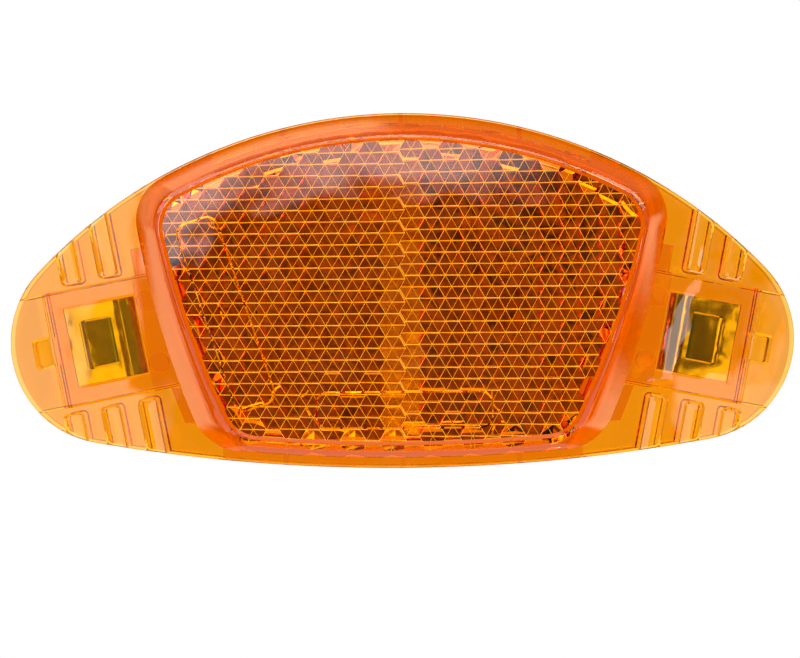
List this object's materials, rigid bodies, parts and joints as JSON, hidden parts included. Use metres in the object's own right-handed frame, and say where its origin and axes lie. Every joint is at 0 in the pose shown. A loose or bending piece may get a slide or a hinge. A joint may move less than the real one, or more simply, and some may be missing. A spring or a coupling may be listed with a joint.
{
  "type": "bicycle spoke reflector",
  "caption": "Double-sided amber wheel reflector: cube-corner lenses in a sloping bezel, fluted wing plates and spring clips that snap onto spokes.",
  "frame": {"origin": "middle of the overall box at the bottom, where the rear bezel's land lies on a table", "axes": "+X along the length from spoke to spoke, +Y towards the wheel rim, +Z out of the front lens"},
  "size_m": [0.1, 0.0452, 0.009],
  "materials": {
    "amber_acrylic": "clear moulded amber acrylic, polished",
    "spring_steel": "plated spring steel, fine rolled grain"
  },
  "bodies": {
    "root": {"front_shell": "amber_acrylic", "rear_shell": "amber_acrylic", "left_spoke_clip": "spring_steel", "right_spoke_clip": "spring_steel"}
  },
  "joints": []
}
